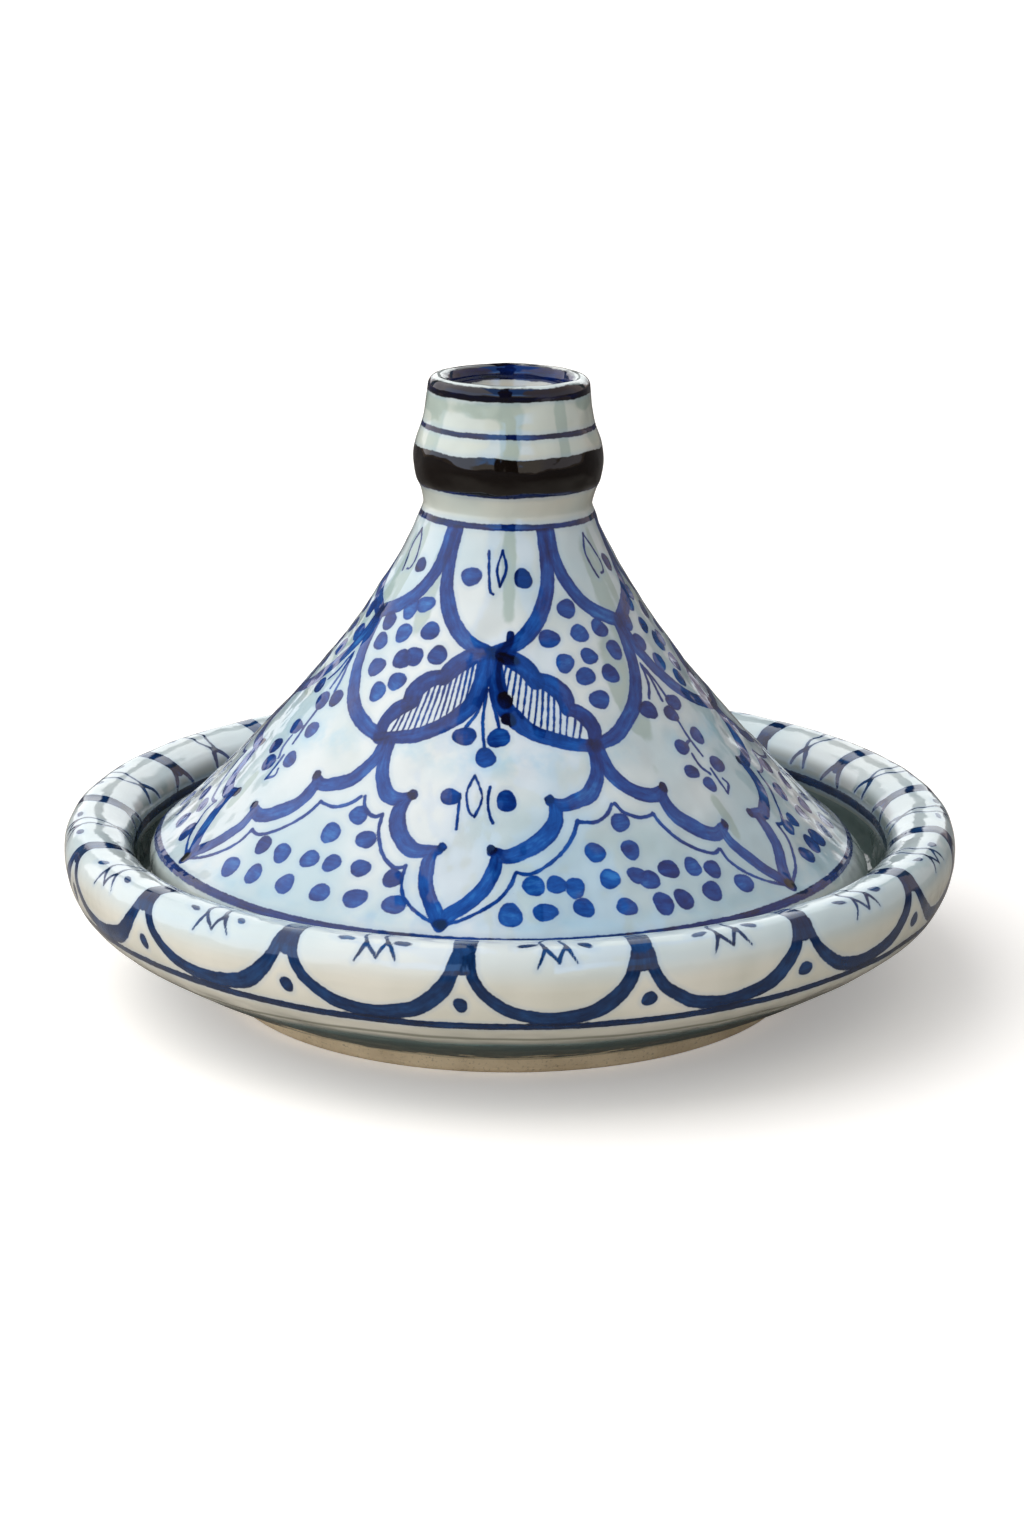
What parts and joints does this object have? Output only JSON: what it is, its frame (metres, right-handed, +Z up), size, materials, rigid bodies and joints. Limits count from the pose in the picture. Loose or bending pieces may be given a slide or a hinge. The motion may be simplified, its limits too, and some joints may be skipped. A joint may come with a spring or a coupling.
{
  "type": "tagine pot",
  "caption": "Glazed ceramic tagine: shallow round dish with a rolled rim and foot ring, and a conical lid with a hollow cup knob that lifts straight off.",
  "frame": {"origin": "on the table plane, at the centre of the foot ring", "axes": "+Z up along the axis both pieces are thrown about; -Y is the front"},
  "size_m": [0.3004, 0.3004, 0.2057],
  "materials": {
    "dish_glaze": "gloss glaze, pale grey-white with cobalt brushwork, bare clay foot",
    "lid_glaze": "gloss glaze, pale blue-white with cobalt brushwork"
  },
  "bodies": {
    "dish": {"base_dish": "dish_glaze"},
    "lid": {"lid": "lid_glaze"}
  },
  "joints": [
    {"name": "lid_lift", "type": "slide", "parent": "dish", "child": "lid", "axis": [0, 0, 1], "range_m": [0, 0.15]}
  ]
}
